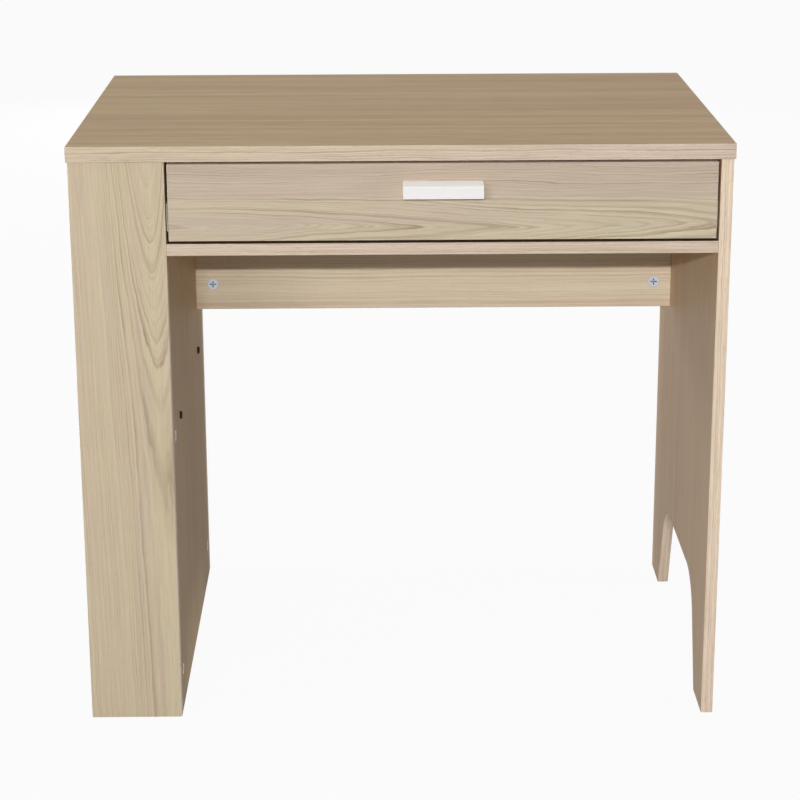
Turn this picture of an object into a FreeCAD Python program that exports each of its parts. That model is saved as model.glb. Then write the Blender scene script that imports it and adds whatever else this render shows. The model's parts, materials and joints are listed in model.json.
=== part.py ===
# Flat-pack writing desk of laminated chipboard: an open column on the left, a panel leg with an
# arched foot on the right, one drawer on roller runners under the top, and a modesty panel.
# Frame: X to the right, Y to the back, Z up; the origin is on the floor, under the middle of the
# desk's outline, handle included. All sizes are in millimetres.

import FreeCAD, Part
import os
from types import SimpleNamespace

import Sketcher

doc = FreeCAD.newDocument("writing_desk")
sheet = doc.addObject("Spreadsheet::Sheet", "Sizes")

driving_sizes = {
    # desk
    "desk_width": "800",
    "desk_height": "740",
    "top_thickness": "19",
    "board": "15",
    "edge_radius": "0.8",
    "side_overhang": "2",
    "front_overhang": "2",
    "back_overhang": "20",
    "side_depth": "528",
    # column on the left
    "column_width": "115",
    "shelf_inset": "3",
    "middle_shelf_height": "372",
    "bottom_shelf_height": "56",
    # arched foot of the right panel
    "arch_height": "140",
    "arch_foot": "71",
    "arch_lean": "54",
    "arch_radius": "70",
    # bay of the drawer and modesty panel
    "bay_height": "100",
    "modesty_inset": "92",
    "modesty_bottom": "430",
    # drawer
    "drawer_side_gap": "3",
    "drawer_top_gap": "3",
    "drawer_bottom_gap": "3",
    "drawer_board": "12",
    "drawer_height": "70",
    "drawer_back_gap": "54",
    "drawer_back_drop": "5",
    "hardboard": "3",
    "groove_depth": "6",
    "groove_rise": "8",
    "groove_gap": "0.2",
    # handle
    "handle_length": "96",
    "handle_height": "15",
    "handle_reach": "26",
    "handle_drop": "23.5",
    "handle_wall": "2.5",
    "handle_flange": "6",
    "handle_slope": "2",
    "handle_underside_slope": "1.5",
    "handle_bend": "2",
    "handle_hole_spacing": "64",
    # roller runners
    "runner_setback": "17",
    "runner_rise": "12",
    "runner_space": "12.5",
    "runner_sheet": "1",
    "runner_upstand": "14.2",
    "channel_reach": "10.8",
    "rib_start": "28",
    "rib_gap": "0.5",
    "running_gap": "0.3",
    "flange_start": "2.5",
    "ledge_rise": "5",
    "roller_radius": "8",
    "roller_width": "7",
    "roller_crown": "0.6",
    "roller_proud": "0.5",
    "roller_inset": "14",
    "roller_side_gap": "0.2",
    "pin_radius": "2.5",
    "pin_fit": "0.05",
    "collar_radius": "4",
    "collar_width": "1",
    # cam locks and their bolts
    "fit": "0.1",
    "cam_radius": "7.5",
    "cam_depth": "12.5",
    "drawer_cam_radius": "6",
    "drawer_cam_depth": "10.6",
    "cam_reach": "24",
    "cam_slot_length": "9",
    "cam_slot_width": "1.6",
    "cam_slot_depth": "1.6",
    "bolt_thread": "11",
    "bolt_thread_radius": "2.5",
    "bolt_radius": "3",
    "bolt_neck_radius": "2",
    "bolt_head_radius": "3.5",
    "bolt_head_length": "4",
    "bolt_neck_length": "4",
    "bolt_bore_radius": "4",
    "bore_spare": "0.5",
    # wooden dowels
    "dowel_radius": "4",
    "dowel_chamfer": "1",
    "dowel_in_face": "10",
    "dowel_in_edge": "20",
    # screws
    "shelf_screw_radius": "3.5",
    "shelf_screw_length": "50",
    "shelf_screw_head_radius": "5",
    "shelf_screw_head": "3",
    "shelf_screw_chamfer": "1",
    "shelf_screw_socket": "2.3",
    "shelf_screw_socket_depth": "2.5",
    "shelf_screw_front": "108",
    "shelf_screw_back": "113",
    "screw_radius": "2",
    "screw_head_radius": "4",
    "screw_head": "2",
    "screw_slot_length": "4.4",
    "screw_slot_width": "0.9",
    "screw_slot_depth": "1.2",
    "runner_screw_length": "11",
    "drawer_screw_length": "35",
    "tip_length": "2",
    # places of the fittings
    "column_cam_low": "50",
    "column_cam_shelf_drop": "6",
    "column_cam_back_rise": "60",
    "column_cam_top_drop": "39",
    "column_dowel_low": "130",
    "column_dowel_top_drop": "161",
    "top_cam_front": "90",
    "top_cam_back": "178",
    "top_dowel_front": "160",
    "top_dowel_back": "48",
    "end_fitting_inset": "40",
    "modesty_cam_inset": "36",
    "modesty_dowel_rise": "146",
    "floor_cam_inset": "60",
    "floor_dowel_inset": "120",
    "shelf_cam_inset": "60",
    "runner_screw_rise": "8.5",
    "runner_screw_first": "45",
    "runner_screw_last": "49",
    "drawer_cam_rise": "50",
    "drawer_dowel_rise": "25",
    "drawer_screw_rise": "27",
    "drawer_screw_spacing": "26",
}


# A length with the sheet formula that gives it, so that it can be bound to a property.
class Size:
    def __init__(self, formula, value):
        self.formula = formula
        self.value = value

    def __add__(self, other):
        other = as_size(other)
        return Size(f"({self.formula} + {other.formula})", self.value + other.value)

    def __sub__(self, other):
        other = as_size(other)
        return Size(f"({self.formula} - {other.formula})", self.value - other.value)

    def __mul__(self, number):
        return Size(f"({self.formula} * {number})", self.value * number)

    def __truediv__(self, number):
        return Size(f"({self.formula} / {number})", self.value / number)


def as_size(thing):
    return thing if isinstance(thing, Size) else Size(str(thing), float(thing))


size = SimpleNamespace()
for row, (alias, number) in enumerate(driving_sizes.items(), start=1):
    sheet.set(f"A{row}", alias)
    sheet.set(f"B{row}", number)
    sheet.setAlias(f"B{row}", alias)
    setattr(size, alias, Size(f"Sizes.{alias}", float(number)))
doc.recompute()

nothing = as_size(0)
ways = {
    "+X": FreeCAD.Vector(1, 0, 0),
    "-X": FreeCAD.Vector(-1, 0, 0),
    "+Y": FreeCAD.Vector(0, 1, 0),
    "-Y": FreeCAD.Vector(0, -1, 0),
    "+Z": FreeCAD.Vector(0, 0, 1),
    "-Z": FreeCAD.Vector(0, 0, -1),
}
against = {"+X": "-X", "-X": "+X", "+Y": "-Y", "-Y": "+Y", "+Z": "-Z", "-Z": "+Z"}
# For each axis: the origin plane square to it and the two axes that a sketch on that plane shows.
# The normal of the plane square to Y points against its axis.
planes = {"X": ("YZ_Plane", "YZ"), "Y": ("XZ_Plane", "XZ"), "Z": ("XY_Plane", "XY")}
sub_parts = []
closeness = 1e-6
level_edge = 1 - closeness


def same(one, other):
    return abs(one - other) < closeness


def bind(thing, path, length):
    thing.setExpression(path, as_size(length).formula)


def moved(point, way, distance):
    sign, axis = way
    index = "XYZ".index(axis)
    shifted = list(point)
    shifted[index] = shifted[index] + distance if sign == "+" else shifted[index] - distance
    return tuple(shifted)


def along(point, axis):
    return point["XYZ".index(axis)]


def faces_along(axis):
    return axis != "Y"


def new_sketch(body, axis, level):
    role = planes[axis][0]
    level = as_size(level)
    sketch = body.newObject("Sketcher::SketchObject", "Sketch")
    plane = next(item for item in body.Origin.OriginFeatures if item.Role == role)
    sketch.AttachmentSupport = (plane, [""])
    sketch.MapMode = "FlatFace"
    bind(sketch, "AttachmentOffset.Base.z", level if faces_along(axis) else nothing - level)
    return sketch


def fix_point(sketch, item, end, across, up):
    for kind, base_line, length in (("DistanceX", -2, across), ("DistanceY", -1, up)):
        if length.formula == nothing.formula:
            sketch.addConstraint(Sketcher.Constraint("PointOnObject", item, end, base_line))
            continue
        index = sketch.addConstraint(Sketcher.Constraint(kind, -1, 1, item, end, length.value))
        bind(sketch, f"Constraints[{index}]", length)


def draw_outline(sketch, corners):
    corners = [(as_size(across), as_size(up)) for across, up in corners]
    points = [FreeCAD.Vector(across.value, up.value, 0) for across, up in corners]
    for start, end in zip(points, points[1:] + points[:1]):
        sketch.addGeometry(Part.LineSegment(start, end), False)
    for item, corner in enumerate(corners):
        following = (item + 1) % len(corners)
        sketch.addConstraint(Sketcher.Constraint("Coincident", item, 2, following, 1))
        fix_point(sketch, item, 1, *corner)


def draw_circles(sketch, centres, radius):
    upright = FreeCAD.Vector(0, 0, 1)
    for across, up in centres:
        centre = FreeCAD.Vector(across.value, up.value, 0)
        item = sketch.addGeometry(Part.Circle(centre, upright, radius.value), False)
        fix_point(sketch, item, 3, across, up)
        index = sketch.addConstraint(Sketcher.Constraint("Radius", item, radius.value))
        bind(sketch, f"Constraints[{index}]", radius)


def rectangle(low, high):
    return [low, (high[0], low[1]), high, (low[0], high[1])]


def add_pad(body, sketch, axis, length):
    pad = body.newObject("PartDesign::Pad", "Pad")
    pad.Profile = sketch
    bind(pad, "Length", length)
    pad.Reversed = not faces_along(axis)
    doc.recompute()


# Cuts a sketch into the body along a way. A pocket runs against its sketch's normal by itself.
def add_pocket(body, sketch, way, depth):
    before = body.Shape.Volume
    sign, axis = way
    pocket = body.newObject("PartDesign::Pocket", "Pocket")
    pocket.Profile = sketch
    bind(pocket, "Length", depth)
    pocket.Reversed = (sign == "+") == faces_along(axis)
    doc.recompute()
    if not body.Shape.Volume < before:
        raise RuntimeError(f"{body.Label}: a pocket along {way} cuts nothing")


def round_edges(body, radius, chosen=lambda edge: True):
    base = body.Tip
    names = [f"Edge{n}" for n, edge in enumerate(base.Shape.Edges, start=1) if chosen(edge)]
    fillet = body.newObject("PartDesign::Fillet", "Fillet")
    fillet.Base = (base, names)
    bind(fillet, "Radius", radius)
    doc.recompute()


# A straight piece: an outline square to an axis, padded along it from the piece's low corner.
# Bores and slots are given in the desk's frame.
class Piece:
    def __init__(self, label, corner, axis, outline, length):
        self.corner = tuple(as_size(place) for place in corner)
        self.body = doc.addObject("PartDesign::Body", label)
        sub_parts.append(self.body)
        for letter, place in zip("xyz", self.corner):
            bind(self.body, f"Placement.Base.{letter}", place)
        sketch = new_sketch(self.body, axis, 0)
        draw_outline(sketch, outline)
        add_pad(self.body, sketch, axis, length)

    def flat(self, point, axis):
        shown = planes[axis][1]
        return tuple(along(point, letter) - along(self.corner, letter) for letter in shown)

    def sketch_at(self, axis, point):
        return new_sketch(self.body, axis, along(point, axis) - along(self.corner, axis))

    def bore(self, way, spots, radius, depth):
        axis = way[1]
        sketch = self.sketch_at(axis, spots[0])
        draw_circles(sketch, [self.flat(spot, axis) for spot in spots], radius)
        add_pocket(self.body, sketch, way, depth)

    def slot(self, way, low, high, depth):
        axis = way[1]
        sketch = self.sketch_at(axis, low)
        draw_outline(sketch, rectangle(self.flat(low, axis), self.flat(high, axis)))
        add_pocket(self.body, sketch, way, depth)


def board(label, corner, extent):
    outline = rectangle((nothing, nothing), (extent[0], extent[1]))
    piece = Piece(label, corner, "Z", outline, extent[2])
    round_edges(piece.body, size.edge_radius)
    return piece


# A fitting turned about its own X axis, from steps of (place along the axis, radius).
def turned(name, steps):
    body = doc.addObject("PartDesign::Body", name)
    sketch = new_sketch(body, "Z", 0)
    draw_outline(sketch, steps)
    turn = body.newObject("PartDesign::Revolution", "Revolution")
    turn.Profile = sketch
    turn.ReferenceAxis = (sketch, ["H_Axis"])
    turn.Angle = 360
    doc.recompute()
    return body


# Copies of one fitting as separate solids of one node. Each place is a point, the way that the
# fitting's X axis points and the way that its Z axis points.
def group(label, shape, places):
    copies = []
    for point, run, facing in places:
        copy = doc.addObject("App::Link", f"{label}_copy")
        copy.LinkedObject = shape
        turn = FreeCAD.Rotation(ways[run], FreeCAD.Vector(), ways[facing], "XZY")
        copy.LinkPlacement = FreeCAD.Placement(FreeCAD.Vector(), turn)
        for letter, place in zip("xyz", point):
            bind(copy, f"LinkPlacement.Base.{letter}", place)
        copies.append(copy)
    node = doc.addObject("Part::Compound", label)
    node.Links = copies
    sub_parts.append(node)


def mirrored(label, source):
    node = doc.addObject("Part::Mirroring", label)
    node.Source = source
    node.Normal = (1, 0, 0)
    bind(node, "Base.x", bay_middle)
    sub_parts.append(node)


# Main places
desk_depth = size.front_overhang + size.side_depth + size.back_overhang
front = (size.handle_reach + size.front_overhang - desk_depth) / 2
back = front + size.side_depth
left = size.side_overhang - size.desk_width / 2
right = size.desk_width / 2 - size.side_overhang
under_top = size.desk_height - size.top_thickness
half_board = size.board / 2
knee_left = left + size.column_width
knee_right = right - size.board
knee_width = knee_right - knee_left
bay_middle = (knee_left + knee_right) / 2
niche_right = knee_left - size.board
inner_front = front + size.board
inner_back = back - size.board
inner_depth = size.side_depth - size.board * 2
inner_axis = knee_left - half_board
right_axis = knee_right + half_board
bay_bottom = under_top - size.bay_height
floor_bottom = bay_bottom - size.board
floor_axis = bay_bottom - half_board
modesty_front = back - size.modesty_inset - size.board
modesty_axis = modesty_front + half_board

# Boards of the carcass
desktop = board(
    "desktop",
    (nothing - size.desk_width / 2, front - size.front_overhang, under_top),
    (size.desk_width, desk_depth, size.top_thickness),
)
column_front_panel = board(
    "column_front_panel", (left, front, nothing), (size.column_width, size.board, under_top)
)
column_back_panel = board(
    "column_back_panel", (left, inner_back, nothing), (size.column_width, size.board, under_top)
)
column_inner_panel = board(
    "column_inner_panel", (niche_right, inner_front, nothing), (size.board, inner_depth, under_top)
)
shelf_left = left + size.shelf_inset
shelf_extent = (niche_right - shelf_left, inner_depth, size.board)
middle_shelf = board(
    "middle_shelf", (shelf_left, inner_front, size.middle_shelf_height - half_board), shelf_extent
)
bottom_shelf = board(
    "bottom_shelf", (shelf_left, inner_front, size.bottom_shelf_height - half_board), shelf_extent
)
bay_floor = board(
    "bay_floor", (knee_left, front, floor_bottom), (knee_width, modesty_front - front, size.board)
)
modesty_panel = board(
    "modesty_panel",
    (knee_left, modesty_front, size.modesty_bottom),
    (knee_width, size.board, under_top - size.modesty_bottom),
)


# The right panel is cut at the foot by an arch with leaning sides and round upper corners.
def make_right_side_panel():
    outline = rectangle((nothing, nothing), (size.side_depth, under_top))
    panel = Piece("right_side_panel", (knee_right, front, nothing), "X", outline, size.board)
    arch_end = size.side_depth - size.arch_foot
    arch = new_sketch(panel.body, "X", 0)
    draw_outline(
        arch,
        [
            (size.arch_foot, nothing),
            (arch_end, nothing),
            (arch_end - size.arch_lean, size.arch_height),
            (size.arch_foot + size.arch_lean, size.arch_height),
        ],
    )
    add_pocket(panel.body, arch, "+X", size.board)

    def at_arch_corner(edge):
        across_panel = abs(edge.tangentAt(edge.FirstParameter).x) > level_edge
        return across_panel and same(edge.CenterOfMass.z, size.arch_height.value)

    round_edges(panel.body, size.arch_radius, at_arch_corner)
    round_edges(panel.body, size.edge_radius)
    return panel


right_side_panel = make_right_side_panel()

# Drawer boards
drawer_left = knee_left + size.runner_space
drawer_right = knee_right - size.runner_space
inside_left = drawer_left + size.drawer_board
inside_right = drawer_right - size.drawer_board
box_front = inner_front
box_back = modesty_front - size.drawer_back_gap
drawer_depth = box_back - box_front
runner_bottom = bay_bottom + size.runner_rise
box_bottom = runner_bottom + size.ledge_rise
front_left = knee_left + size.drawer_side_gap
drawer_front = board(
    "drawer_front",
    (front_left, front, bay_bottom + size.drawer_bottom_gap),
    (
        knee_width - size.drawer_side_gap * 2,
        size.board,
        size.bay_height - size.drawer_top_gap - size.drawer_bottom_gap,
    ),
)
drawer_left_side = board(
    "drawer_left_side",
    (drawer_left, box_front, box_bottom),
    (size.drawer_board, drawer_depth, size.drawer_height),
)
drawer_back = board(
    "drawer_back",
    (inside_left, box_back - size.drawer_board, box_bottom),
    (inside_right - inside_left, size.drawer_board, size.drawer_height - size.drawer_back_drop),
)

# The hardboard bottom lies in grooves of the front, the sides and the back.
groove_low = box_bottom + size.groove_rise
groove_high = groove_low + size.hardboard + size.groove_gap
back_inside = box_back - size.drawer_board
drawer_left_side.slot(
    "-X",
    (inside_left, box_front, groove_low),
    (inside_left, box_back, groove_high),
    size.groove_depth,
)
drawer_front.slot(
    "-Y",
    (inside_left - size.groove_depth, box_front, groove_low),
    (inside_right + size.groove_depth, box_front, groove_high),
    size.groove_depth,
)
drawer_back.slot(
    "+Y",
    (inside_left, back_inside, groove_low),
    (inside_right, back_inside, groove_high),
    size.groove_depth,
)
bottom_tongue = size.groove_depth - size.groove_gap
bottom_outline = rectangle(
    (nothing, nothing),
    (
        inside_right - inside_left + bottom_tongue * 2,
        back_inside - box_front + bottom_tongue * 2,
    ),
)
Piece(
    "drawer_bottom",
    (inside_left - bottom_tongue, box_front - bottom_tongue, groove_low),
    "Z",
    bottom_outline,
    size.hardboard,
)


# Shapes of the fittings that are repeated
def make_cam(name, radius, depth, bolt_depth):
    cam = doc.addObject("PartDesign::Body", name)
    disc = new_sketch(cam, "Z", nothing - depth)
    draw_circles(disc, [(nothing, nothing)], radius)
    add_pad(cam, disc, "Z", depth)
    mouth = new_sketch(cam, "X", nothing - radius)
    hole = size.bolt_head_radius + size.fit
    centre = FreeCAD.Vector(0, -bolt_depth.value, 0)
    item = mouth.addGeometry(Part.Circle(centre, FreeCAD.Vector(0, 0, 1), hole.value), False)
    mouth.addConstraint(Sketcher.Constraint("PointOnObject", item, 3, -2))
    index = mouth.addConstraint(Sketcher.Constraint("DistanceY", item, 3, -1, 1, bolt_depth.value))
    bind(mouth, f"Constraints[{index}]", bolt_depth)
    index = mouth.addConstraint(Sketcher.Constraint("Radius", item, hole.value))
    bind(mouth, f"Constraints[{index}]", hole)
    add_pocket(cam, mouth, "+X", radius + size.bolt_head_radius)
    add_cross_recess(cam, "-Z", size.cam_slot_length, size.cam_slot_width, size.cam_slot_depth)
    return cam


def add_cross_recess(body, way, length, width, depth):
    for across, up in ((length, width), (width, length)):
        sketch = new_sketch(body, way[1], 0)
        draw_bar(sketch, across, up)
        add_pocket(body, sketch, way, depth)


# A rectangle about the sketch's origin
def draw_bar(sketch, across, up):
    corners = [(-1, -1), (1, -1), (1, 1), (-1, 1)]
    points = [FreeCAD.Vector(a * across.value / 2, u * up.value / 2, 0) for a, u in corners]
    for start, end in zip(points, points[1:] + points[:1]):
        sketch.addGeometry(Part.LineSegment(start, end), False)
    for item in range(4):
        sketch.addConstraint(Sketcher.Constraint("Coincident", item, 2, (item + 1) % 4, 1))
    sketch.addConstraint(Sketcher.Constraint("Horizontal", 0))
    sketch.addConstraint(Sketcher.Constraint("Vertical", 1))
    sketch.addConstraint(Sketcher.Constraint("Symmetric", 0, 1, 2, 1, -1, 1))
    sketch.addConstraint(Sketcher.Constraint("Horizontal", 2))
    sides = (("DistanceX", 0, across), ("DistanceY", 1, up))
    for kind, item, length in sides:
        index = sketch.addConstraint(Sketcher.Constraint(kind, item, 1, item, 2, length.value))
        bind(sketch, f"Constraints[{index}]", length)


cam_shape = make_cam("cam_lock_shape", size.cam_radius, size.cam_depth, half_board)
drawer_cam_shape = make_cam(
    "drawer_cam_shape", size.drawer_cam_radius, size.drawer_cam_depth, size.drawer_board / 2
)
bolt_end = size.bolt_thread + size.cam_reach
bolt_head_start = bolt_end - size.bolt_head_length
bolt_neck_start = bolt_head_start - size.bolt_neck_length
bolt_shape = turned(
    "cam_bolt_shape",
    [
        (nothing, nothing),
        (bolt_end, nothing),
        (bolt_end, size.bolt_head_radius),
        (bolt_head_start, size.bolt_head_radius),
        (bolt_head_start, size.bolt_neck_radius),
        (bolt_neck_start, size.bolt_neck_radius),
        (bolt_neck_start, size.bolt_radius),
        (size.bolt_thread, size.bolt_radius),
        (size.bolt_thread, size.bolt_thread_radius),
        (nothing, size.bolt_thread_radius),
    ],
)
dowel_length = size.dowel_in_face + size.dowel_in_edge
dowel_shape = turned(
    "dowel_shape",
    [
        (nothing, nothing),
        (dowel_length, nothing),
        (dowel_length, size.dowel_radius - size.dowel_chamfer),
        (dowel_length - size.dowel_chamfer, size.dowel_radius),
        (size.dowel_chamfer, size.dowel_radius),
        (nothing, size.dowel_radius - size.dowel_chamfer),
    ],
)


# Drills both boards of a cam joint. Each point is where a bolt's axis crosses the plane in which
# the edge of one board meets the face of the other; run is the way from there into the edge.
def cam_joint(edge_board, face_board, run, opening, points, radius, depth, half_thickness):
    bolt_tip = size.bolt_thread + size.bore_spare
    face_board.bore(against[run], points, size.bolt_thread_radius + size.fit, bolt_tip)
    edge_board.bore(run, points, size.bolt_bore_radius, size.cam_reach)
    seats = [moved(moved(p, run, size.cam_reach), opening, half_thickness) for p in points]
    edge_board.bore(against[opening], seats, radius + size.fit, depth)
    bolts = [(moved(p, against[run], size.bolt_thread), run, opening) for p in points]
    return [(seat, run, opening) for seat in seats], bolts


def board_cam_joint(edge_board, face_board, run, opening, points):
    cam = (size.cam_radius, size.cam_depth, half_board)
    return cam_joint(edge_board, face_board, run, opening, points, *cam)


def cam_groups(label, joints, shape):
    group(f"{label}_cam_locks", shape, [place for cams, bolts in joints for place in cams])
    group(f"{label}_cam_bolts", bolt_shape, [place for cams, bolts in joints for place in bolts])


def dowel_joint(edge_board, face_board, run, points):
    hole = size.dowel_radius + size.fit
    face_board.bore(against[run], points, hole, size.dowel_in_face + size.bore_spare)
    edge_board.bore(run, points, hole, size.dowel_in_edge + size.bore_spare)
    facing = "+Z" if run[1] != "Z" else "+X"
    return [(moved(p, against[run], size.dowel_in_face), run, facing) for p in points]


# Column: its inner panel is held between the front and the back panel.
# Its middle cam is under the shelf at the front, and behind the modesty panel at the back.
middle_cam_heights = (
    size.middle_shelf_height - size.column_cam_shelf_drop,
    size.modesty_bottom + size.column_cam_back_rise,
)
dowel_heights = (size.column_dowel_low, under_top - size.column_dowel_top_drop)
ends = ((column_front_panel, "+Y", inner_front), (column_back_panel, "-Y", inner_back))
column_joints = []
column_dowels = []
for (panel, run, plane), middle_height in zip(ends, middle_cam_heights):
    cam_heights = (size.column_cam_low, middle_height, under_top - size.column_cam_top_drop)
    cam_points = [(inner_axis, plane, height) for height in cam_heights]
    column_joints.append(board_cam_joint(column_inner_panel, panel, run, "+X", cam_points))
    dowel_points = [(inner_axis, plane, height) for height in dowel_heights]
    column_dowels += dowel_joint(column_inner_panel, panel, run, dowel_points)
cam_groups("column", column_joints, cam_shape)
group("column_dowels", dowel_shape, column_dowels)

# Desktop on the inner panel, the right panel and the two narrow panels of the column
top_cam_depths = (front + size.top_cam_front, back - size.top_cam_back)
top_dowel_depths = (front + size.top_dowel_front, back - size.top_dowel_back)
top_joints = []
top_dowels = []
for panel, axis_x, opening in (
    (column_inner_panel, inner_axis, "+X"),
    (right_side_panel, right_axis, "-X"),
):
    cam_points = [(axis_x, depth, under_top) for depth in top_cam_depths]
    top_joints.append(board_cam_joint(panel, desktop, "-Z", opening, cam_points))
    dowel_points = [(axis_x, depth, under_top) for depth in top_dowel_depths]
    top_dowels += dowel_joint(panel, desktop, "-Z", dowel_points)
end_x = left + size.end_fitting_inset
for panel, axis_y in (
    (column_front_panel, front + half_board),
    (column_back_panel, back - half_board),
):
    top_dowels += dowel_joint(panel, desktop, "-Z", [(end_x, axis_y, under_top)])
cam_groups("desktop", top_joints, cam_shape)
group("desktop_dowels", dowel_shape, top_dowels)

# Modesty panel and bay floor, between the inner panel and the right panel
modesty_heights = (
    size.modesty_bottom + size.modesty_cam_inset,
    under_top - size.modesty_cam_inset,
)
modesty_dowel_height = size.modesty_bottom + size.modesty_dowel_rise
floor_cam_depths = (
    front + size.floor_cam_inset,
    modesty_front - size.floor_cam_inset,
)
floor_dowel_depths = (
    front + size.floor_dowel_inset,
    modesty_front - size.floor_dowel_inset,
)
modesty_joints = []
floor_joints = []
bay_dowels = []
for wall, run, plane in ((column_inner_panel, "+X", knee_left), (right_side_panel, "-X", knee_right)):
    cam_points = [(plane, modesty_axis, height) for height in modesty_heights]
    modesty_joints.append(board_cam_joint(modesty_panel, wall, run, "-Y", cam_points))
    dowel_points = [(plane, modesty_axis, modesty_dowel_height)]
    bay_dowels += dowel_joint(modesty_panel, wall, run, dowel_points)
    cam_points = [(plane, depth, floor_axis) for depth in floor_cam_depths]
    floor_joints.append(board_cam_joint(bay_floor, wall, run, "-Z", cam_points))
    dowel_points = [(plane, depth, floor_axis) for depth in floor_dowel_depths]
    bay_dowels += dowel_joint(bay_floor, wall, run, dowel_points)
cam_groups("modesty_panel", modesty_joints, cam_shape)
cam_groups("bay_floor", floor_joints, cam_shape)
group("bay_dowels", dowel_shape, bay_dowels)

# Shelves: the bottom one on cam locks from below, the middle one on two through screws
shelf_joint_points = [
    (niche_right, depth, size.bottom_shelf_height)
    for depth in (inner_front + size.shelf_cam_inset, inner_back - size.shelf_cam_inset)
]
shelf_joint = board_cam_joint(bottom_shelf, column_inner_panel, "-X", "-Z", shelf_joint_points)
cam_groups("bottom_shelf", [shelf_joint], cam_shape)
shelf_dowels = []
for shelf, height in (
    (middle_shelf, size.middle_shelf_height),
    (bottom_shelf, size.bottom_shelf_height),
):
    for panel, run, plane in ends:
        shelf_dowels += dowel_joint(shelf, panel, run, [(end_x, plane, height)])
group("shelf_dowels", dowel_shape, shelf_dowels)

screw_axes = (front + size.shelf_screw_front, back - size.shelf_screw_back)
shelf_screw_points = [(knee_left, depth, size.middle_shelf_height) for depth in screw_axes]
shelf_screw_hole = size.shelf_screw_radius + size.fit
column_inner_panel.bore("-X", shelf_screw_points, shelf_screw_hole, size.board)
middle_shelf.bore(
    "-X",
    [moved(point, "-X", size.board) for point in shelf_screw_points],
    shelf_screw_hole,
    size.shelf_screw_length - size.shelf_screw_head - size.board + size.bore_spare,
)
shelf_screw_shape = turned(
    "shelf_screw_shape",
    [
        (nothing, nothing),
        (size.shelf_screw_length, nothing),
        (size.shelf_screw_length - size.tip_length, size.shelf_screw_radius),
        (size.shelf_screw_head, size.shelf_screw_radius),
        (size.shelf_screw_head, size.shelf_screw_head_radius),
        (size.shelf_screw_chamfer, size.shelf_screw_head_radius),
        (nothing, size.shelf_screw_head_radius - size.shelf_screw_chamfer),
    ],
)
socket = shelf_screw_shape.newObject("PartDesign::SubtractivePrism", "Socket")
socket.Polygon = 6
bind(socket, "Circumradius", size.shelf_screw_socket)
bind(socket, "Height", size.shelf_screw_socket_depth)
socket.AttachmentSupport = (
    next(item for item in shelf_screw_shape.Origin.OriginFeatures if item.Role == "YZ_Plane"),
    [""],
)
socket.MapMode = "FlatFace"
doc.recompute()
shelf_screw_places = [
    (moved(point, "+X", size.shelf_screw_head), "-X", "+Z") for point in shelf_screw_points
]
group("shelf_screws", shelf_screw_shape, shelf_screw_places)

# Handle: an extruded profile with a top plate, which falls a little to the front, a lip in front and
# a flange on the drawer front
handle_top = under_top - size.drawer_top_gap - size.handle_drop
handle_left = bay_middle - size.handle_length / 2
flange_face = size.handle_reach - size.handle_flange
under_plate = size.handle_height - size.handle_wall
handle = Piece(
    "handle",
    (handle_left, front - size.handle_reach, handle_top - size.handle_height),
    "X",
    [
        (nothing, nothing),
        (size.handle_wall, nothing),
        (size.handle_wall, under_plate),
        (flange_face, under_plate + size.handle_underside_slope),
        (flange_face, nothing),
        (size.handle_reach, nothing),
        (size.handle_reach, size.handle_height + size.handle_slope),
        (nothing, size.handle_height),
    ],
    size.handle_length,
)


def at_handle_bend(edge):
    middle = edge.CenterOfMass
    along_handle = abs(edge.tangentAt(edge.FirstParameter).x) > level_edge
    return along_handle and same(middle.y, 0) and same(middle.z, size.handle_height.value)


round_edges(handle.body, size.handle_bend, at_handle_bend)
screw_hole = size.screw_radius + size.fit
handle_screw_level = handle_top - size.handle_height / 2
handle_spots = [
    (bay_middle - size.handle_hole_spacing / 2, box_front, handle_screw_level),
    (bay_middle + size.handle_hole_spacing / 2, box_front, handle_screw_level),
]
drawer_front.bore("-Y", handle_spots, screw_hole, size.board)
handle.bore(
    "-Y",
    [moved(spot, "-Y", size.board) for spot in handle_spots],
    screw_hole,
    size.handle_flange,
)


def pan_screw(name, length):
    end = size.screw_head + length
    screw = turned(
        name,
        [
            (nothing, nothing),
            (end, nothing),
            (end - size.tip_length / 2, size.screw_radius),
            (size.screw_head, size.screw_radius),
            (size.screw_head, size.screw_head_radius),
            (size.screw_head / 2, size.screw_head_radius),
            (nothing, size.screw_head_radius - size.screw_head / 2),
        ],
    )
    add_cross_recess(
        screw, "+X", size.screw_slot_length, size.screw_slot_width, size.screw_slot_depth
    )
    return screw


handle_screw_shape = pan_screw("handle_screw_shape", size.board + size.handle_flange - size.fit)
group(
    "handle_screws",
    handle_screw_shape,
    [(moved(spot, "+Y", size.screw_head), "-Y", "+Z") for spot in handle_spots],
)

# Drawer box: cam locks and dowels at the front, screws through the sides into the back
side_axis = drawer_left + size.drawer_board / 2
drawer_cam = (size.drawer_cam_radius, size.drawer_cam_depth, size.drawer_board / 2)
cam_level = box_bottom + size.drawer_cam_rise
dowel_level = box_bottom + size.drawer_dowel_rise
left_cams = cam_joint(
    drawer_left_side, drawer_front, "+Y", "+X", [(side_axis, box_front, cam_level)], *drawer_cam
)
left_dowels = dowel_joint(
    drawer_left_side, drawer_front, "+Y", [(side_axis, box_front, dowel_level)]
)


# The same place on the other side of the drawer
def across(point):
    return (bay_middle * 2 - point[0], point[1], point[2])


right_cam_point = across((side_axis, box_front, cam_level))
right_dowel_point = across((side_axis, box_front, dowel_level))
drawer_front.bore(
    "-Y",
    [right_cam_point],
    size.bolt_thread_radius + size.fit,
    size.bolt_thread + size.bore_spare,
)
drawer_front.bore(
    "-Y", [right_dowel_point], size.dowel_radius + size.fit, size.dowel_in_face + size.bore_spare
)


def way_across(way):
    return against[way] if way[1] == "X" else way


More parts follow.
